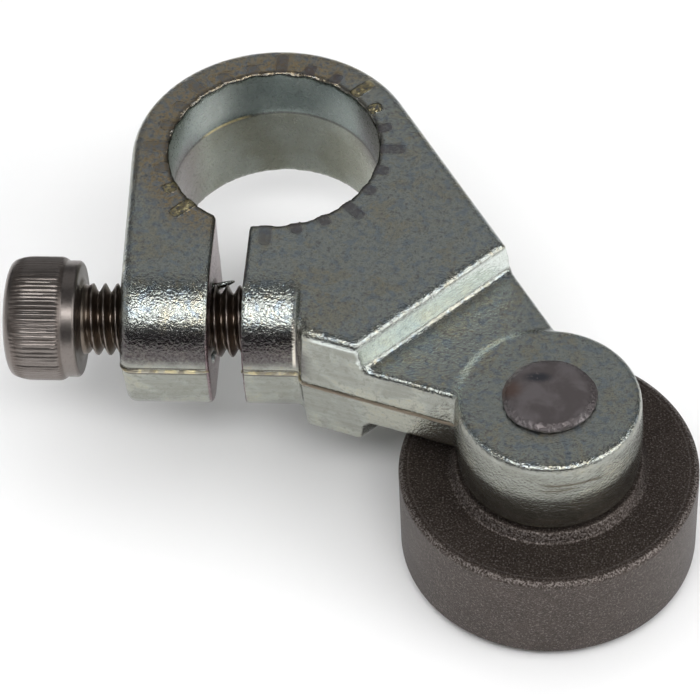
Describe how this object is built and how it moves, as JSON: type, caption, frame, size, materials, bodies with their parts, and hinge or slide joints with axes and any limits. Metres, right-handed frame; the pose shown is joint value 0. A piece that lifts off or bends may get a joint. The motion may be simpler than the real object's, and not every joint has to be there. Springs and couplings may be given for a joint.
{
  "type": "clamp-on roller lever",
  "caption": "Split-hub clamp lever with raised graduations, a knurled socket-head clamp screw and a riveted free-turning roller on its cranked arm.",
  "frame": {"origin": "on the axis of the clamp bore, half way up the hub, on the casting's parting plane", "axes": "+Z along the clamp bore towards the graduated face, +X along the clamp screw from its head into the lever, the slot and its two lugs on -Y"},
  "size_m": [0.0561, 0.0487, 0.0205],
  "materials": {
    "cast_lever": "fine-grained, dull, slightly sparkling die-cast surface with darker purple-grey graduations",
    "screw_steel": "satin stainless with a straight knurl on the head",
    "roller_steel": "dark browned steel, turned, with a brighter rim",
    "rivet_steel": "dull peened steel"
  },
  "bodies": {
    "lever": {"lever_body": "cast_lever", "roller_rivet": "rivet_steel"},
    "screw": {"clamp_screw": "screw_steel"},
    "roller": {"roller": "roller_steel"}
  },
  "joints": [
    {"name": "roller_spin", "type": "hinge", "parent": "lever", "child": "roller", "pos_m": [0.02315, -0.02456, -0.00925], "axis": [0, 0, 1], "continuous": true},
    {"name": "screw_travel", "type": "slide", "parent": "lever", "child": "screw", "axis": [1, 0, 0], "range_m": [-0.0067, 0.0031]}
  ]
}
